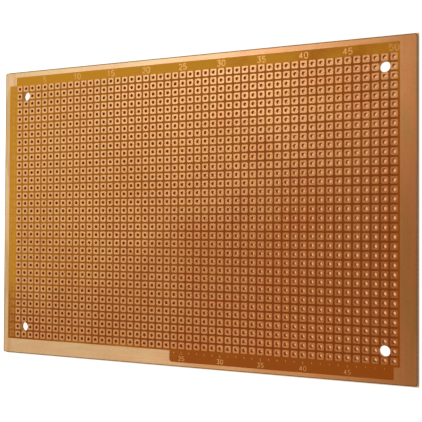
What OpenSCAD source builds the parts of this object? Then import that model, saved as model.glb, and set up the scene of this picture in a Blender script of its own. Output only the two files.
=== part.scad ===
// Solder prototype board: a drilled phenolic paper laminate with etched copper pads on one side.
// It lies flat with the copper up. X runs along the columns and +Y points to the first row.
// Millimetres. The origin is at the middle of the underside.

/* [Grid] */
// Distance between neighbouring holes
pitch = 2.54; // [2:0.01:3]
// Number of columns
columns = 50; // [12:1:90]
// Number of rows
rows = 33; // [6:1:50]
// Side of a square copper pad
pad_side = 2.0; // [1.6:0.05:2.2]
// Diameter of a lead hole
lead_hole_d = 1.0; // [0.7:0.05:1.3]

/* [Board] */
// Thickness of the laminate
laminate_t = 1.6; // [0.8:0.1:3.2]
// Thickness of the copper foil
foil_t = 0.035; // [0.018:0.001:0.105]
// First column's centre line to the left edge
margin_left = 5.85; // [5.5:0.05:12]
// Last column's centre line to the right edge
margin_right = 6.15; // [3:0.05:12]
// First row's centre line to the top edge
margin_top = 5.6; // [5:0.05:12]
// Last row's centre line to the bottom edge
margin_bottom = 6.2; // [5.8:0.05:12]
// Radius of the board's corners
corner_r = 0.6; // [0.2:0.1:1.2]
// Bare edge left around the copper where the board was cut
edge_inset = 0.2; // [0.1:0.05:0.5]

/* [Mounting holes] */
// Diameter of the four mounting holes
mount_hole_d = 3.0; // [2.2:0.1:3.5]
// Steps of the grid from a corner pad to its mounting hole
mount_steps = 1; // [1:1:4]

/* [Etched strips] */
// First row's centre line to the top strip's outer side
top_strip = 3.9; // [3.6:0.05:4.5]
// First column's centre line to the left strip's outer side
left_strip = 4.0; // [3.8:0.05:4.8]
// First column's centre line to the top strip's left end
top_strip_end = 1.3; // [1.2:0.05:2]
// First row's centre line to the left strip's upper end
left_strip_end = 1.1; // [1.1:0.05:2]
// Outer pads' centre line to the copper at the right and the bottom
field_clear = 1.55; // [1.3:0.05:2]
// Length of the bottom strip
bottom_strip_len = 67.4; // [10:0.2:80]
// Depth of the bottom strip below the field
bottom_strip_h = 3.4; // [2.4:0.1:3.8]
// Right side of the field to the bottom strip's right end
bottom_strip_inset = 1.65; // [0.5:0.05:6]
// Radius of the bottom strip's lower left corner
bottom_strip_r = 0.9; // [0.3:0.1:1.2]

/* [Numbers] */
// Columns from one number or long mark to the next
number_step = 5; // [2:1:10]
// Width of a digit of the column numbers
column_digit_w = 1.25; // [0.8:0.05:1.6]
// Height of the column numbers
column_digit_h = 1.9; // [1.2:0.1:2.3]
// Width of a digit of the row numbers
row_digit_w = 0.75; // [0.6:0.05:0.9]
// Height of the row numbers
row_digit_h = 1.6; // [0.9:0.1:1.9]
// Width of a digit of the bottom scale's numbers
scale_digit_w = 0.9; // [0.7:0.05:1.2]
// Height of the bottom scale's numbers
scale_digit_h = 1.4; // [0.9:0.1:1.6]
// Gap between the two digits of a number
digit_gap = 0.25; // [0.15:0.05:0.4]
// Line width of the column numbers
column_line = 0.26; // [0.15:0.01:0.35]
// Line width of the row numbers, the bottom numbers and the marks
small_line = 0.18; // [0.12:0.01:0.22]
// Length of the bottom scale's short marks
short_mark = 0.5; // [0.3:0.05:0.7]
// Length of the bottom scale's long marks
long_mark = 0.8; // [0.5:0.05:1]

/* [Hidden] */
field_w = (columns - 1) * pitch;
field_h = (rows - 1) * pitch;
board_w = field_w + margin_left + margin_right;
board_h = field_h + margin_top + margin_bottom;

// Edges of the board, and centre lines of the first and last pads
edge_x = board_w / 2;
edge_y = board_h / 2;
first_x = margin_left - edge_x;
last_x = first_x + field_w;
first_y = edge_y - margin_top;
last_y = first_y - field_h;

// Marks hang this far below the field's etched edge
mark_drop = 0.35;

$fn = 48;

function hole_x(column) = first_x + (column - 1) * pitch;
function hole_y(row) = first_y - (row - 1) * pitch;

// The rows and columns that hold a mounting hole
mount_columns = [1 + mount_steps, columns - mount_steps];
mount_rows = [1 + mount_steps, rows - mount_steps];
function among(value, list) = len([for (v = list) if (v == value) 1]) > 0;
function is_mount(column, row) = among(column, mount_columns) && among(row, mount_rows);

function row_label(row) = str(row < 10 ? "0" : "", row);
function row_node(row) = str("pads_row_", row_label(row));

// Points of a quarter arc of radius r about a centre, clockwise from an angle
function arc(centre, r, from) =
    [for (a = [0:15:90]) centre + r * [cos(from - a), sin(from - a)]];

// Clockwise outline of a rectangle with rounded corners
function rounded_outline(x, y, r) = concat(
    arc([-x + r, y - r], r, 180),
    arc([x - r, y - r], r, 90),
    arc([x - r, -y + r], r, 0),
    arc([-x + r, -y + r], r, 270)
);

// Outline of the etched area: the field of pads with its top, left and bottom strips
strip_right = last_x + field_clear - bottom_strip_inset;
strip_left = strip_right - bottom_strip_len;
strip_bottom = last_y - field_clear - bottom_strip_h;
etched_outline = concat(
    [
        [first_x - left_strip, last_y - field_clear],
        [first_x - left_strip, first_y + left_strip_end],
        [first_x - top_strip_end, first_y + left_strip_end],
        [first_x - top_strip_end, first_y + top_strip],
        [last_x + field_clear, first_y + top_strip],
        [last_x + field_clear, last_y - field_clear],
        [strip_right, last_y - field_clear],
        [strip_right, strip_bottom],
    ],
    arc([strip_left + bottom_strip_r, strip_bottom + bottom_strip_r], bottom_strip_r, 270),
    [[strip_left, last_y - field_clear]]
);

// Lines of a digit in a box of 1 by 1: open ones first, closed ones second
nought_loop = [[0, 0.2], [0, 0.8], [0.3, 1], [0.7, 1], [1, 0.8], [1, 0.2], [0.7, 0], [0.3, 0]];
six_hook = [[0, 0.4], [0.12, 0.8], [0.45, 1], [0.9, 1]];
six_loop = [[0, 0.2], [0, 0.42], [0.3, 0.58], [0.7, 0.58], [1, 0.42], [1, 0.18], [0.7, 0], [0.3, 0]];
eight_top = [[0.1, 0.7], [0.1, 0.86], [0.3, 1], [0.7, 1], [0.9, 0.86], [0.9, 0.7], [0.7, 0.56], [0.3, 0.56]];
eight_base = [[0, 0.2], [0, 0.38], [0.3, 0.56], [0.7, 0.56], [1, 0.38], [1, 0.2], [0.7, 0], [0.3, 0]];
function turned(line) = [for (p = line) [1, 1] - p];
digit_lines = [
    [[], [nought_loop]],
    [[[[0.2, 0.78], [0.55, 1], [0.55, 0]]], []],
    [[[[0, 0.8], [0.3, 1], [0.7, 1], [1, 0.8], [1, 0.6], [0.08, 0.02]], [[0, 0], [1, 0]]], []],
    [[[[0, 1], [1, 1], [0.5, 0.58], [0.75, 0.56], [1, 0.4], [1, 0.2], [0.7, 0], [0.3, 0], [0, 0.15]]], []],
    [[[[0.72, 0], [0.72, 1]], [[0.68, 1], [0.05, 0.3], [1, 0.3]]], []],
    [[[[0.95, 1], [0.1, 1], [0.05, 0.56], [0.7, 0.58], [1, 0.42], [1, 0.2], [0.7, 0], [0.3, 0], [0, 0.15]]], []],
    [[six_hook], [six_loop]],
    [[[[0, 1], [0.95, 1], [0.35, 0]]], []],
    [[], [eight_top, eight_base]],
    [[turned(six_hook)], [turned(six_loop)]],
];

// Offset of a line to its left, mitred at each corner
function left_of(v) = [-v[1], v[0]] / norm(v);
function mitre(a, b) = let (n = left_of(a) + left_of(b)) n / (n * left_of(a));
function beside(line, d, closed) = let (n = len(line)) [
    for (i = [0:n - 1]) let (
        back = closed || i > 0 ? line[i] - line[(i + n - 1) % n] : line[1] - line[0],
        ahead = closed || i < n - 1 ? line[(i + 1) % n] - line[i] : line[n - 1] - line[n - 2]
    ) line[i] + d * mitre(back, ahead)
];
function reversed(list) = [for (i = [len(list) - 1:-1:0]) list[i]];

module open_line(line, width) {
    polygon(concat(beside(line, width / 2, false), reversed(beside(line, -width / 2, false))));
}

module closed_line(line, width) {
    difference() {
        polygon(beside(line, width / 2, true));
        polygon(beside(line, -width / 2, true));
    }
}

// One digit of a size with its lower left corner at the origin
module digit(value, size, width) {
    box = size - [width, width];
    function placed(line) = [for (p = line) [p[0] * box[0], p[1] * box[1]] + [width, width] / 2];
    for (line = digit_lines[value][0]) open_line(placed(line), width);
    for (line = digit_lines[value][1]) closed_line(placed(line), width);
}

// A whole number under 100, centred on a point
module number(value, at, size, width) {
    tens = floor(value / 10);
    step = size[0] + digit_gap;
    count = tens > 0 ? 2 : 1;
    start = at - [step * count - digit_gap, size[1]] / 2;
    if (tens > 0) translate(start) digit(tens, size, width);
    translate(start + [step * (count - 1), 0]) digit(value % 10, size, width);
}

module on_laminate() {
    translate([0, 0, laminate_t]) linear_extrude(foil_t) children();
}

module laminate() {
    color("#b5762a")
    linear_extrude(laminate_t) difference() {
        polygon(rounded_outline(edge_x, edge_y, corner_r));
        for (row = [1:rows], column = [1:columns])
            translate([hole_x(column), hole_y(row)])
                circle(d = is_mount(column, row) ? mount_hole_d : lead_hole_d);
    }
}

module border_foil() {
    color("#d9a57c")
    on_laminate() difference() {
        polygon(rounded_outline(edge_x - edge_inset, edge_y - edge_inset, corner_r));
        polygon(etched_outline);
    }
}

// A pad beside a mounting hole loses what a wide hole takes from it
module pad(column, row) {
    difference() {
        square(pad_side, center = true);
        circle(d = lead_hole_d);
        for (i = [-1:1], j = [-1:1])
            if (is_mount(column + i, row + j))
                translate([i, -j] * pitch) circle(d = mount_hole_d);
    }
}

module pad_row(row) {
    color("#c98a57")
    on_laminate()
    for (column = [1:columns])
        if (!is_mount(column, row))
            translate([hole_x(column), hole_y(row)]) pad(column, row);
}

// Plain numbers above every fifth column
module column_numbers() {
    strip_middle = first_y + (top_strip + pad_side / 2) / 2;
    color("#d9a57c")
    on_laminate()
    for (column = [number_step:number_step:columns])
        number(column, [hole_x(column), strip_middle], [column_digit_w, column_digit_h], column_line);
}

// Plain numbers at the left of every row
module row_numbers() {
    strip_middle = first_x - (left_strip + pad_side / 2) / 2;
    color("#d9a57c")
    on_laminate()
    for (row = [1:rows])
        number(row, [strip_middle, hole_y(row)], [row_digit_w, row_digit_h], small_line);
}

// Marks and plain numbers under the columns that the bottom strip spans
module bottom_scale() {
    mark_top = last_y - field_clear - mark_drop;
    clear_end = scale_digit_w + digit_gap;
    number_y = (mark_top - long_mark + strip_bottom) / 2;
    color("#d9a57c")
    on_laminate()
    for (column = [1:columns])
        if (hole_x(column) > strip_left + clear_end && hole_x(column) < strip_right - clear_end) {
            numbered = column % number_step == 0;
            length = numbered ? long_mark : short_mark;
            translate([hole_x(column) - small_line / 2, mark_top - length]) square([small_line, length]);
            if (numbered)
                number(column, [hole_x(column), number_y], [scale_digit_w, scale_digit_h], small_line);
        }
}

laminate();
border_foil();
for (row = [1:rows])
    pad_row(row);
column_numbers();
row_numbers();
bottom_scale();
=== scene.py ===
# Looks of a solder prototype board: phenolic paper laminate with etched copper on its upper face
import math
import random

import bpy
import numpy as np
from mathutils import Matrix, Vector


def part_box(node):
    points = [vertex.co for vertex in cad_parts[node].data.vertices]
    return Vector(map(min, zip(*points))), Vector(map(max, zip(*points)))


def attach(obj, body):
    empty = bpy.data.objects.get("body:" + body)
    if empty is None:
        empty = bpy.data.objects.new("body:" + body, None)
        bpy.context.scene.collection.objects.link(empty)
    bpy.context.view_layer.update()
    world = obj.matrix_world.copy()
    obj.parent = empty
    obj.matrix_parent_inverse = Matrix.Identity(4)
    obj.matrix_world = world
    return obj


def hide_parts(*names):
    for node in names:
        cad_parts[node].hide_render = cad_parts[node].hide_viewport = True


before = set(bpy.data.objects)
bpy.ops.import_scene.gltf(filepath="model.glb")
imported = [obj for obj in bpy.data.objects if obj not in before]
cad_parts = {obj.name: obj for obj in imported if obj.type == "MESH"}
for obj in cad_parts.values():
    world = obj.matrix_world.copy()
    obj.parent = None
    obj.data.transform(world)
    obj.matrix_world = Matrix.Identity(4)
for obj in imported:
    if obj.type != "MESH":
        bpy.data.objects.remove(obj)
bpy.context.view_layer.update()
print("frame loaded:", len(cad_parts), "nodes")

random.seed(27)

# places that everything else is worked out from, in metres
mm = 0.001
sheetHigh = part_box("laminate")[1]
rowNames = sorted(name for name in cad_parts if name.startswith("pads_row_"))
topRowLow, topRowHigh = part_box(rowNames[0])
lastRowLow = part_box(rowNames[-1])[0]
copperBase = topRowLow.z
copperTop = topRowHigh.z
padSide = topRowHigh.y - topRowLow.y
rowCount = len(rowNames)
pitch = (topRowLow.y - lastRowLow.y) / (rowCount - 1)
firstX = topRowLow.x + padSide / 2
firstY = topRowHigh.y - padSide / 2
columnCount = round((topRowHigh.x - topRowLow.x - padSide) / pitch) + 1

noiseMiddle = 0.5  # what a noise texture averages


def srgb(text):
    # a colour such as "c8892e" as the linear values that the shaders take
    values = [int(text[i:i + 2], 16) / 255 for i in (0, 2, 4)]
    return tuple(v / 12.92 if v <= 0.04045 else ((v + 0.055) / 1.055) ** 2.4 for v in values) + (1.0,)


# shader maths: a node's output that adds Math nodes when it is used in an expression
class Wire:
    def __init__(self, paint, socket):
        self.paint = paint
        self.socket = socket

    def math(self, operation, first, second):
        return self.paint.node("ShaderNodeMath", dict(operation=operation), {0: first, 1: second})

    def __add__(self, other):
        return self.math("ADD", self, other)

    def __sub__(self, other):
        return self.math("SUBTRACT", self, other)

    def __rsub__(self, other):
        return self.math("SUBTRACT", other, self)

    def __mul__(self, other):
        return self.math("MULTIPLY", self, other)

    def __gt__(self, other):
        return self.math("GREATER_THAN", self, other)

    def __abs__(self):
        return self.paint.node("ShaderNodeMath", dict(operation="ABSOLUTE"), {0: self})

    __radd__ = __add__
    __rmul__ = __mul__


# the nodes of one material or world
class Paint:
    def __init__(self, owner):
        owner.use_nodes = True
        self.owner = owner
        self.tree = owner.node_tree
        self.tree.nodes.clear()

    def node(self, kind, settings=None, values=None, out=0):
        made = self.tree.nodes.new(kind)
        for key, value in (settings or {}).items():
            setattr(made, key, value)
        for key, value in (values or {}).items():
            if isinstance(value, Wire):
                self.tree.links.new(value.socket, made.inputs[key])
            else:
                made.inputs[key].default_value = value
        return Wire(self, made.outputs[out]) if made.outputs else made

    def place(self):
        # place on the board in millimetres
        point = self.node("ShaderNodeTexCoord", out="Object")
        return self.node("ShaderNodeVectorMath", dict(operation="SCALE"), {0: point, "Scale": 1 / mm})

    def split(self, vector):
        # the vector's x, y and z
        made = self.node("ShaderNodeSeparateXYZ", None, {0: vector}).socket.node
        return [Wire(self, socket) for socket in made.outputs]

    def noise(self, point, scale, detail=2.0, roughness=0.5):
        # a scale for each axis stretches the pattern along the axis with the small number
        if isinstance(scale, tuple):
            point = self.node("ShaderNodeVectorMath", dict(operation="MULTIPLY"), {0: point, 1: scale})
            scale = 1.0
        values = {"Vector": point, "Scale": scale, "Detail": detail, "Roughness": roughness}
        return self.node("ShaderNodeTexNoise", dict(noise_dimensions="3D"), values)

    def ramp(self, factor, low, high, start=0.0, end=1.0):
        # start to end as factor goes from low to high, held beyond both
        values = {"Value": factor, 1: low, 2: high, 3: start, 4: end}
        return self.node("ShaderNodeMapRange", dict(interpolation_type="SMOOTHSTEP"), values)

    def fall(self, factor, low, high):
        return self.ramp(factor, low, high, 1.0, 0.0)

    def mix(self, factor, first, second):
        # inputs 6 and 7 are the node's two colours
        return self.node("ShaderNodeMix", dict(data_type="RGBA"), {0: factor, 6: first, 7: second}, out=2)

    def bump(self, height, distance, strength):
        values = {"Height": height, "Distance": distance, "Strength": strength}
        return self.node("ShaderNodeBump", None, values)

    def surface(self, values):
        shader = self.node("ShaderNodeBsdfPrincipled", None, values)
        self.node("ShaderNodeOutputMaterial", None, {"Surface": shader})
        return self.owner


# copper foil: rolled, a little dulled by handling and darkened by painted shade towards the right and down,
# and redder on the pads under their flux lacquer
foilFinish = dict(
    name="copperFoil",
    fresh=srgb("ffe6bc"),
    wornAndShaded=srgb("e6a469"),
    rosy=srgb("f2a27c"),
    olive=srgb("c9a765"),
    tarnish=srgb("a5653a"),
    # painted shade: along and lower darken the foil towards the right and down
    along=0.008,  # how much duller for each millimetre to the right
    lower=0.002,  # and for each millimetre down
    rubbed=0.25,
    streak=0.12,
    bands=0.30,
    spots=0.15,
)
padFinish = dict(
    name="lacqueredCopper",
    fresh=srgb("ffce94"),
    wornAndShaded=srgb("e29858"),
    rosy=srgb("e8925c"),
    olive=srgb("d2a055"),
    tarnish=srgb("8f4d22"),
    # painted shade: along and lower darken the pads towards the right and, more strongly, down
    along=0.006,
    lower=0.006,
    rubbed=0.4,
    streak=0.10,
    bands=0.22,
    spots=0.45,
)
numberFinish = dict(
    foilFinish,
    name="copperNumbers",
    fresh=srgb("f4c47e"),
    wornAndShaded=srgb("f4b66a"),
    spots=0.6,
)

# the pattern on all of the foil: noise steps to the millimetre, and the values where a tone starts and ends
foilPattern = dict(
    roughness=0.36,
    endMargin=(1.2, 2.2),  # from the outer holes to where the end margin starts, in millimetres
    fineRub=2.6,
    longRub=0.05,
    fineBand=0.35,
    longBand=0.05,
    blotch=0.045,
    blotched=0.7,
    wornRange=(-0.1, 0.85),
    leastBand=0.12,
    rosyRange=(0.5, 0.66),
    oliveRange=(0.34, 0.5),
    grain=1.6,
    spotRange=(0.5, 0.75),
    reliefHeight=0.015 * mm,
    reliefStrength=0.6,
    grainRelief=0.5,
)


def copperPaint(finish):
    paint = Paint(bpy.data.materials.new(finish["name"]))
    point = paint.place()
    x, y = paint.split(point)[:2]
    marginStart, marginEnd = foilPattern["endMargin"]
    atEnd = paint.ramp(abs(x), -firstX / mm + marginStart, -firstX / mm + marginEnd)
    # the foil is rubbed along each margin: sideways in the end margins, lengthways in the others
    fine, long = foilPattern["fineRub"], foilPattern["longRub"]
    lengthways = paint.noise(point, (long, fine, 1.0), detail=3.0, roughness=0.6)
    sideways = paint.noise(point, (fine, long, 1.0), detail=3.0, roughness=0.6)
    rub = lengthways + (sideways - lengthways) * atEnd
    # painted shade darkens and dulls the foil towards the right-hand end, and the pads towards the lower
    # edge too; blotches and rubbing add real wear on top
    blotch = paint.noise(point, foilPattern["blotch"], detail=3.0)
    wornAndShaded = x * finish["along"] - y * finish["lower"]
    wornAndShaded = wornAndShaded + blotch * foilPattern["blotched"] + (rub - noiseMiddle) * finish["rubbed"]
    colour = paint.mix(paint.ramp(wornAndShaded, *foilPattern["wornRange"]), finish["fresh"], finish["wornAndShaded"])
    # thin bands of pinker and greener tarnish that follow the rubbing
    fine, long = foilPattern["fineBand"], foilPattern["longBand"]
    bands = paint.noise(point, (fine, long, 1.0)) * atEnd
    bands = bands + paint.noise(point, (long, fine, 1.0)) * (1.0 - atEnd)
    strength = atEnd * finish["bands"] + foilPattern["leastBand"]
    rosy = paint.ramp(bands, *foilPattern["rosyRange"])
    colour = paint.mix(rosy * strength, colour, finish["rosy"])
    olive = paint.fall(bands, *foilPattern["oliveRange"])
    colour = paint.mix(olive * strength, colour, finish["olive"])
    grain = paint.noise(point, foilPattern["grain"], detail=3.0, roughness=0.6)
    spots = paint.ramp(grain, *foilPattern["spotRange"])
    colour = paint.mix(spots * finish["spots"], colour, finish["tarnish"])
    relief = rub + grain * foilPattern["grainRelief"]
    return paint.surface({
        "Base Color": colour,
        "Metallic": 1.0,
        "Roughness": foilPattern["roughness"] + (rub - noiseMiddle) * finish["streak"],
        "Normal": paint.bump(relief, foilPattern["reliefHeight"], foilPattern["reliefStrength"]),
    })


# phenolic laminate: amber and glossy on the etched face, plain brown behind, yellow-brown in its holes
laminateFinish = dict(
    amber=srgb("ffbc26"),
    brown=srgb("cc6e08"),
    shade=srgb("a84a0c"),
    back=srgb("c08a4c"),
    cut=srgb("d09a2c"),
    layer=srgb("a06820"),
    side=srgb("80694a"),
    # paper fibres, slow clouds of resin, and the layers in a cut: noise steps to the millimetre
    fibre=(0.96, 1.44, 4.8),
    cloud=0.09,
    layers=(0.3, 0.3, 12.0),
    # how each millimetre to the right and down (painted shade), the clouds and the fibres (the resin's own
    # tone) turn amber to brown
    along=0.008,
    lower=0.009,
    cloudy=1.1,
    fibrous=0.3,
    brownRange=(0.35, 1.15),
    # painted shade in the lower left corner: how far before and past the field's own corner it fades, in
    # millimetres
    cornerAcross=(-4.0, 46.0),
    cornerUp=(-2.0, 30.0),
    cornerDepth=0.42,
    # darker gaps between the pads: from the left end of the field to where the dark is full
    gapDepth=(0.48, 0.68),
    gapReach=45.0,
    fieldEdge=(-0.3, 0.5),
    # sheared rim: its grey-brown, darkened with painted shade
    rim=0.30,
    rimSoft=0.05,
    faceTurn=0.5,  # a face whose normal points up or down by more than this is the front or the back
    ior=1.5,
    roughness=0.45,
    roughFibres=0.2,
    specular=0.22,
    reliefHeight=0.03 * mm,
    reliefStrength=0.5,
)


def laminatePaint():
    finish = laminateFinish
    paint = Paint(bpy.data.materials.new("phenolicLaminate"))
    point = paint.place()
    x, y = paint.split(point)[:2]
    facing = paint.split(paint.node("ShaderNodeNewGeometry", out="Normal"))[2]
    # edges of the etched field
    left = (firstX - padSide / 2) / mm
    right = (firstX + (columnCount - 1) * pitch + padSide / 2) / mm
    top = (firstY + padSide / 2) / mm
    bottom = (firstY - (rowCount - 1) * pitch - padSide / 2) / mm
    fibres = paint.noise(point, finish["fibre"], detail=4.0, roughness=0.6)
    clouds = paint.noise(point, finish["cloud"], detail=3.0)
    # painted shade darkens the lower left corner
    across, up = finish["cornerAcross"], finish["cornerUp"]
    corner = paint.fall(x, left + across[0], left + across[1])
    corner = corner * paint.ramp(y, bottom + up[0], bottom + up[1], finish["cornerDepth"], 0.0)
    # painted shade browns the sheet towards the right and down and in the lower left corner, mixed with its
    # own clouds and fibres
    browningAndShade = x * finish["along"] - y * finish["lower"] + clouds * finish["cloudy"]
    browningAndShade = paint.ramp(browningAndShade + fibres * finish["fibrous"] + corner, *finish["brownRange"])
    face = paint.mix(browningAndShade, finish["amber"], finish["brown"])
    # light that the copper keeps out of the sheet leaves the gaps between the pads darker
    outer, inner = finish["fieldEdge"]
    inField = paint.ramp(x, left + outer, left + inner) * paint.fall(x, right - inner, right - outer)
    inField = inField * paint.ramp(y, bottom + outer, bottom + inner)
    inField = inField * paint.fall(y, top - inner, top - outer)
    gaps = inField * paint.ramp(x, left, left + finish["gapReach"], *finish["gapDepth"])
    face = paint.mix(gaps, face, finish["shade"])
    face = paint.mix(corner, face, finish["shade"])
    behind = paint.mix(fibres, finish["back"], finish["brown"])
    cut = paint.mix(paint.noise(point, finish["layers"], detail=3.0), finish["cut"], finish["layer"])
    colour = paint.mix(facing > finish["faceTurn"], cut, face)
    colour = paint.mix(facing * -1.0 > finish["faceTurn"], colour, behind)
    # the sheared rim is grey all round, and painted shade makes it dark
    rimX, rimY = [edge / mm - finish["rim"] for edge in sheetHigh.xy]
    atEnd = paint.ramp(abs(x), rimX - finish["rimSoft"], rimX)
    atSide = paint.ramp(abs(y), rimY - finish["rimSoft"], rimY)
    colour = paint.mix(atEnd + atSide - atEnd * atSide, colour, finish["side"])
    return paint.surface({
        "Base Color": colour,
        "Roughness": finish["roughness"] + (fibres - noiseMiddle) * finish["roughFibres"],
        "IOR": finish["ior"],
        "Specular IOR Level": finish["specular"],
        "Normal": paint.bump(fibres, finish["reliefHeight"], finish["reliefStrength"]),
    })


foilCopper = copperPaint(foilFinish)
padCopper = copperPaint(padFinish)
numberCopper = copperPaint(numberFinish)
laminate = laminatePaint()
print("paints made")


# pads: separate squares of foil with rounded etched corners, rolled down a little round the drilled hole
pad = dict(
    cornerRadius=0.30 * mm,
    cornerSpread=(0.7, 1.3),
    cornerPoints=4,
    holeRadius=0.50 * mm,
    rollWidth=0.09 * mm,
    rollDrop=0.012 * mm,
    slopeWidth=0.015 * mm,
    slopeDrop=0.014 * mm,
    wander=0.012 * mm,
    mountSteps=1,  # the mounting holes take the pads this many steps in from each corner
)


def squareLoop(half, radius, points):
    # rounded square, one point in the middle of each side and an arc at each corner
    side = [(half, 0.0)]
    for k in range(points):
        angle = k * math.pi / 2 / (points - 1)
        side.append((half - radius + radius * math.cos(angle), half - radius + radius * math.sin(angle)))
    loop = []
    for quarter in range(4):
        turn = quarter * math.pi / 2
        cosine, sine = math.cos(turn), math.sin(turn)
        loop += [(px * cosine - py * sine, px * sine + py * cosine) for px, py in side]
    return np.array(loop)


def ringLoop(radius, count):
    angles = np.arange(count) * 2 * math.pi / count
    return np.stack([radius * np.cos(angles), radius * np.sin(angles)], axis=1)


def padLoops():
    # the pad's section as loops of points with heights, from the foot of the hole to the foot of the side
    half = padSide / 2 - random.uniform(0, pad["wander"])
    radius = pad["cornerRadius"] * random.uniform(*pad["cornerSpread"])
    points = pad["cornerPoints"]
    count = 4 * (points + 1)
    thickness = copperTop - copperBase
    hole = ringLoop(pad["holeRadius"], count)
    side = squareLoop(half, radius + pad["slopeWidth"], points)
    return [
        (hole, 0.0),
        (hole, thickness - pad["rollDrop"]),
        (ringLoop(pad["holeRadius"] + pad["rollWidth"], count), thickness),
        (squareLoop(half - pad["slopeWidth"], radius, points), thickness),
        (side, thickness - pad["slopeDrop"]),
        (side, 0.0),
    ]


def padRow(name, row):
    mountColumns = (pad["mountSteps"], columnCount - 1 - pad["mountSteps"])
    mountRows = (pad["mountSteps"], rowCount - 1 - pad["mountSteps"])
    points, faces = [], []
    for column in range(columnCount):
        if row in mountRows and column in mountColumns:
            continue
        centre = np.array([firstX + column * pitch, firstY - row * pitch])
        loops = padLoops()
        count = len(loops[0][0])
        base = len(points)
        for loop, height in loops:
            points += [(cx, cy, copperBase + height) for cx, cy in loop + centre]
        for band in range(len(loops)):
            this = base + band * count
            other = base + (band + 1) % len(loops) * count
            for k in range(count):
                following = (k + 1) % count
                faces.append((this + k, other + k, other + following, this + following))
    mesh = bpy.data.meshes.new(name + "_pads")
    mesh.from_pydata(points, [], faces)
    mesh.materials.append(padCopper)
    made = bpy.data.objects.new(name + "_pads", mesh)
    bpy.context.scene.collection.objects.link(made)
    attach(made, "root")
    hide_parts(name)


for row, name in enumerate(rowNames):
    padRow(name, row)
print("pads made:", rowCount, "rows of", columnCount)

# CAD nodes that keep their own shape
finishes = {
    "laminate": laminate,
    "border_foil": foilCopper,
    "column_numbers": numberCopper,
    "row_numbers": numberCopper,
    "bottom_scale": numberCopper,
}
for name, finish in finishes.items():
    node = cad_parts[name]
    node.data.materials.clear()
    node.data.materials.append(finish)

# floor: pale, with a painted contact shadow as a thin dark line along the sheet's edge
# below the sheet it is painted in warm shade, dimmed and tinted as by light through the amber laminate,
# except under the wide mounting holes
floor = dict(
    size=6.0,
    drop=0.02 * mm,
    roughness=0.9,
    glow=0.95,
    pale=(0.9, 0.9, 0.9, 1.0),
    white=(1.0, 1.0, 1.0, 1.0),
    underShadePale=srgb("dabca0"),
    underShadeGlow=srgb("e2a878"),
    paintedContactShadow=srgb("8a7c60"),
    # all of these in millimetres
    endContact=(0.0, 0.3),
    sideContact=(0.2, 0.8),
    holesFrom=(3.0, 2.5),
    mountOpening=(1.6, 2.2),
)


def makeFloor():
    half = floor["size"] / 2
    corners = [(-half, -half, 0), (half, -half, 0), (half, half, 0), (-half, half, 0)]
    mesh = bpy.data.meshes.new("floor")
    mesh.from_pydata(corners, [], [(0, 1, 2, 3)])
    paint = Paint(bpy.data.materials.new("paleFloor"))
    x, y = paint.split(paint.place())[:2]
    endX, endY = [edge / mm for edge in sheetHigh.xy]
    covered = paint.fall(abs(x), *[endX + reach for reach in floor["endContact"]])
    covered = covered * paint.fall(abs(y), *[endY + reach for reach in floor["sideContact"]])
    holed = paint.fall(abs(x), *[endX - reach for reach in floor["holesFrom"]])
    holed = holed * paint.fall(abs(y), *[endY - reach for reach in floor["holesFrom"]])
    # middle of the grid, and how far from it the mounting holes lie
    middleX = (firstX + (columnCount - 1) / 2 * pitch) / mm
    middleY = (firstY - (rowCount - 1) / 2 * pitch) / mm
    outX = ((columnCount - 1) / 2 - pad["mountSteps"]) * pitch / mm
    outY = ((rowCount - 1) / 2 - pad["mountSteps"]) * pitch / mm
    opened = paint.fall(abs(abs(x - middleX) - outX), *floor["mountOpening"])
    opened = opened * paint.fall(abs(abs(y - middleY) - outY), *floor["mountOpening"])
    # painted shade under the sheet: a dark contact shadow near its edges, a warm dim glow under the holes,
    # plain white under the mounting holes
    below = covered * (1.0 - opened)
    under = paint.mix(holed, floor["paintedContactShadow"], floor["underShadeGlow"])
    mesh.materials.append(paint.surface({
        "Base Color": paint.mix(below, floor["pale"], floor["underShadePale"]),
        "Roughness": floor["roughness"],
        "Emission Color": paint.mix(below, floor["white"], under),
        "Emission Strength": floor["glow"],
    }))
    made = bpy.data.objects.new("floor", mesh)
    bpy.context.scene.collection.objects.link(made)
    made.location.z = -floor["drop"]


# softboxes: heading from +X and height in degrees, distance, width and depth in metres, glow and colour
white = (1.0, 1.0, 1.0)
cream = (1.0, 0.93, 0.80)
softboxes = dict(
    topLight=(138, 67, 0.42, 0.16, 0.16, 0.66, white),
    riseLight=(122, 64, 0.42, 0.16, 0.16, 1.07, white),
    sideLight=(160, 50, 0.38, 0.22, 0.22, 0.72, cream),
    lowLight=(207, 42, 0.40, 0.26, 0.26, 0.40, cream),
    endLight=(230, 62, 0.45, 0.15, 0.15, 1.25, white),
    backLight=(120, 30, 0.34, 0.25, 0.20, 0.28, white),
)


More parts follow.
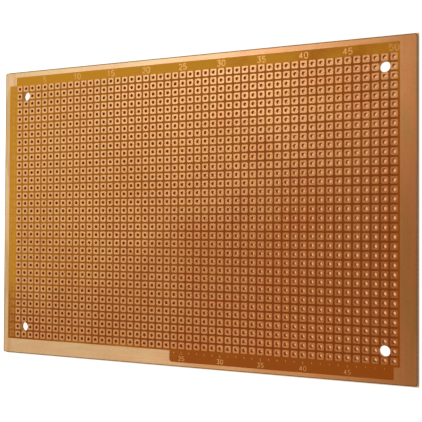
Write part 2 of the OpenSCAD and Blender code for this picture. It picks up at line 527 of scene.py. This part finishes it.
def makeSoftbox(name):
    heading, height, distance, width, depth, glow, colour = softboxes[name]
    data = bpy.data.lights.new(name, "AREA")
    data.shape = "RECTANGLE"
    data.size = width
    data.size_y = depth
    data.energy = glow * math.pi * width * depth
    data.color = colour
    flat = math.cos(math.radians(height))
    direction = Vector((
        flat * math.cos(math.radians(heading)),
        flat * math.sin(math.radians(heading)),
        math.sin(math.radians(height)),
    ))
    made = bpy.data.objects.new(name, data)
    made.location = direction * distance
    made.rotation_euler = (-direction).to_track_quat("-Z", "Y").to_euler()
    bpy.context.scene.collection.objects.link(made)


# sky: white round the horizon, dim and warm overhead
sky = dict(
    horizon=(1.0, 1.0, 1.0, 1.0),
    roof=(0.186, 0.096, 0.028, 1.0),
    roofFrom=0.20,
    roofFull=0.40,
)


def makeSky():
    world = bpy.data.worlds.new("studio")
    paint = Paint(world)
    height = paint.split(paint.node("ShaderNodeTexCoord", out="Generated"))[2]
    values = {"Value": height, 1: sky["roofFrom"], 2: sky["roofFull"]}
    overhead = paint.node("ShaderNodeMapRange", None, values)
    colour = paint.mix(overhead, sky["horizon"], sky["roof"])
    background = paint.node("ShaderNodeBackground", None, {"Color": colour})
    paint.node("ShaderNodeOutputWorld", None, {"Surface": background})
    bpy.context.scene.world = world


# camera: place in metres, and the directions it looks in and has on its right
view = dict(
    place=Vector((0.10927, -0.00594, 0.21567)),
    ahead=Vector((-0.42686, 0.01896, -0.90412)),
    right=Vector((0.90431, 0.00481, -0.42685)),
    lens=68.55,
    sensor=36.0,
    shiftY=0.01097,
    nearest=0.01,
)


def makeCamera():
    data = bpy.data.cameras.new("camera")
    data.lens = view["lens"]
    data.sensor_width = view["sensor"]
    data.shift_y = view["shiftY"]
    data.clip_start = view["nearest"]
    back = -view["ahead"].normalized()
    side = (view["right"] - view["right"].dot(back) * back).normalized()
    up = back.cross(side)
    made = bpy.data.objects.new("camera", data)
    made.matrix_world = Matrix.Translation(view["place"]) @ Matrix((side, up, back)).transposed().to_4x4()
    bpy.context.scene.collection.objects.link(made)
    bpy.context.scene.camera = made


makeFloor()
for name in softboxes:
    makeSoftbox(name)
makeSky()
makeCamera()
bpy.context.scene.view_settings.view_transform = "Standard"
print("studio made")
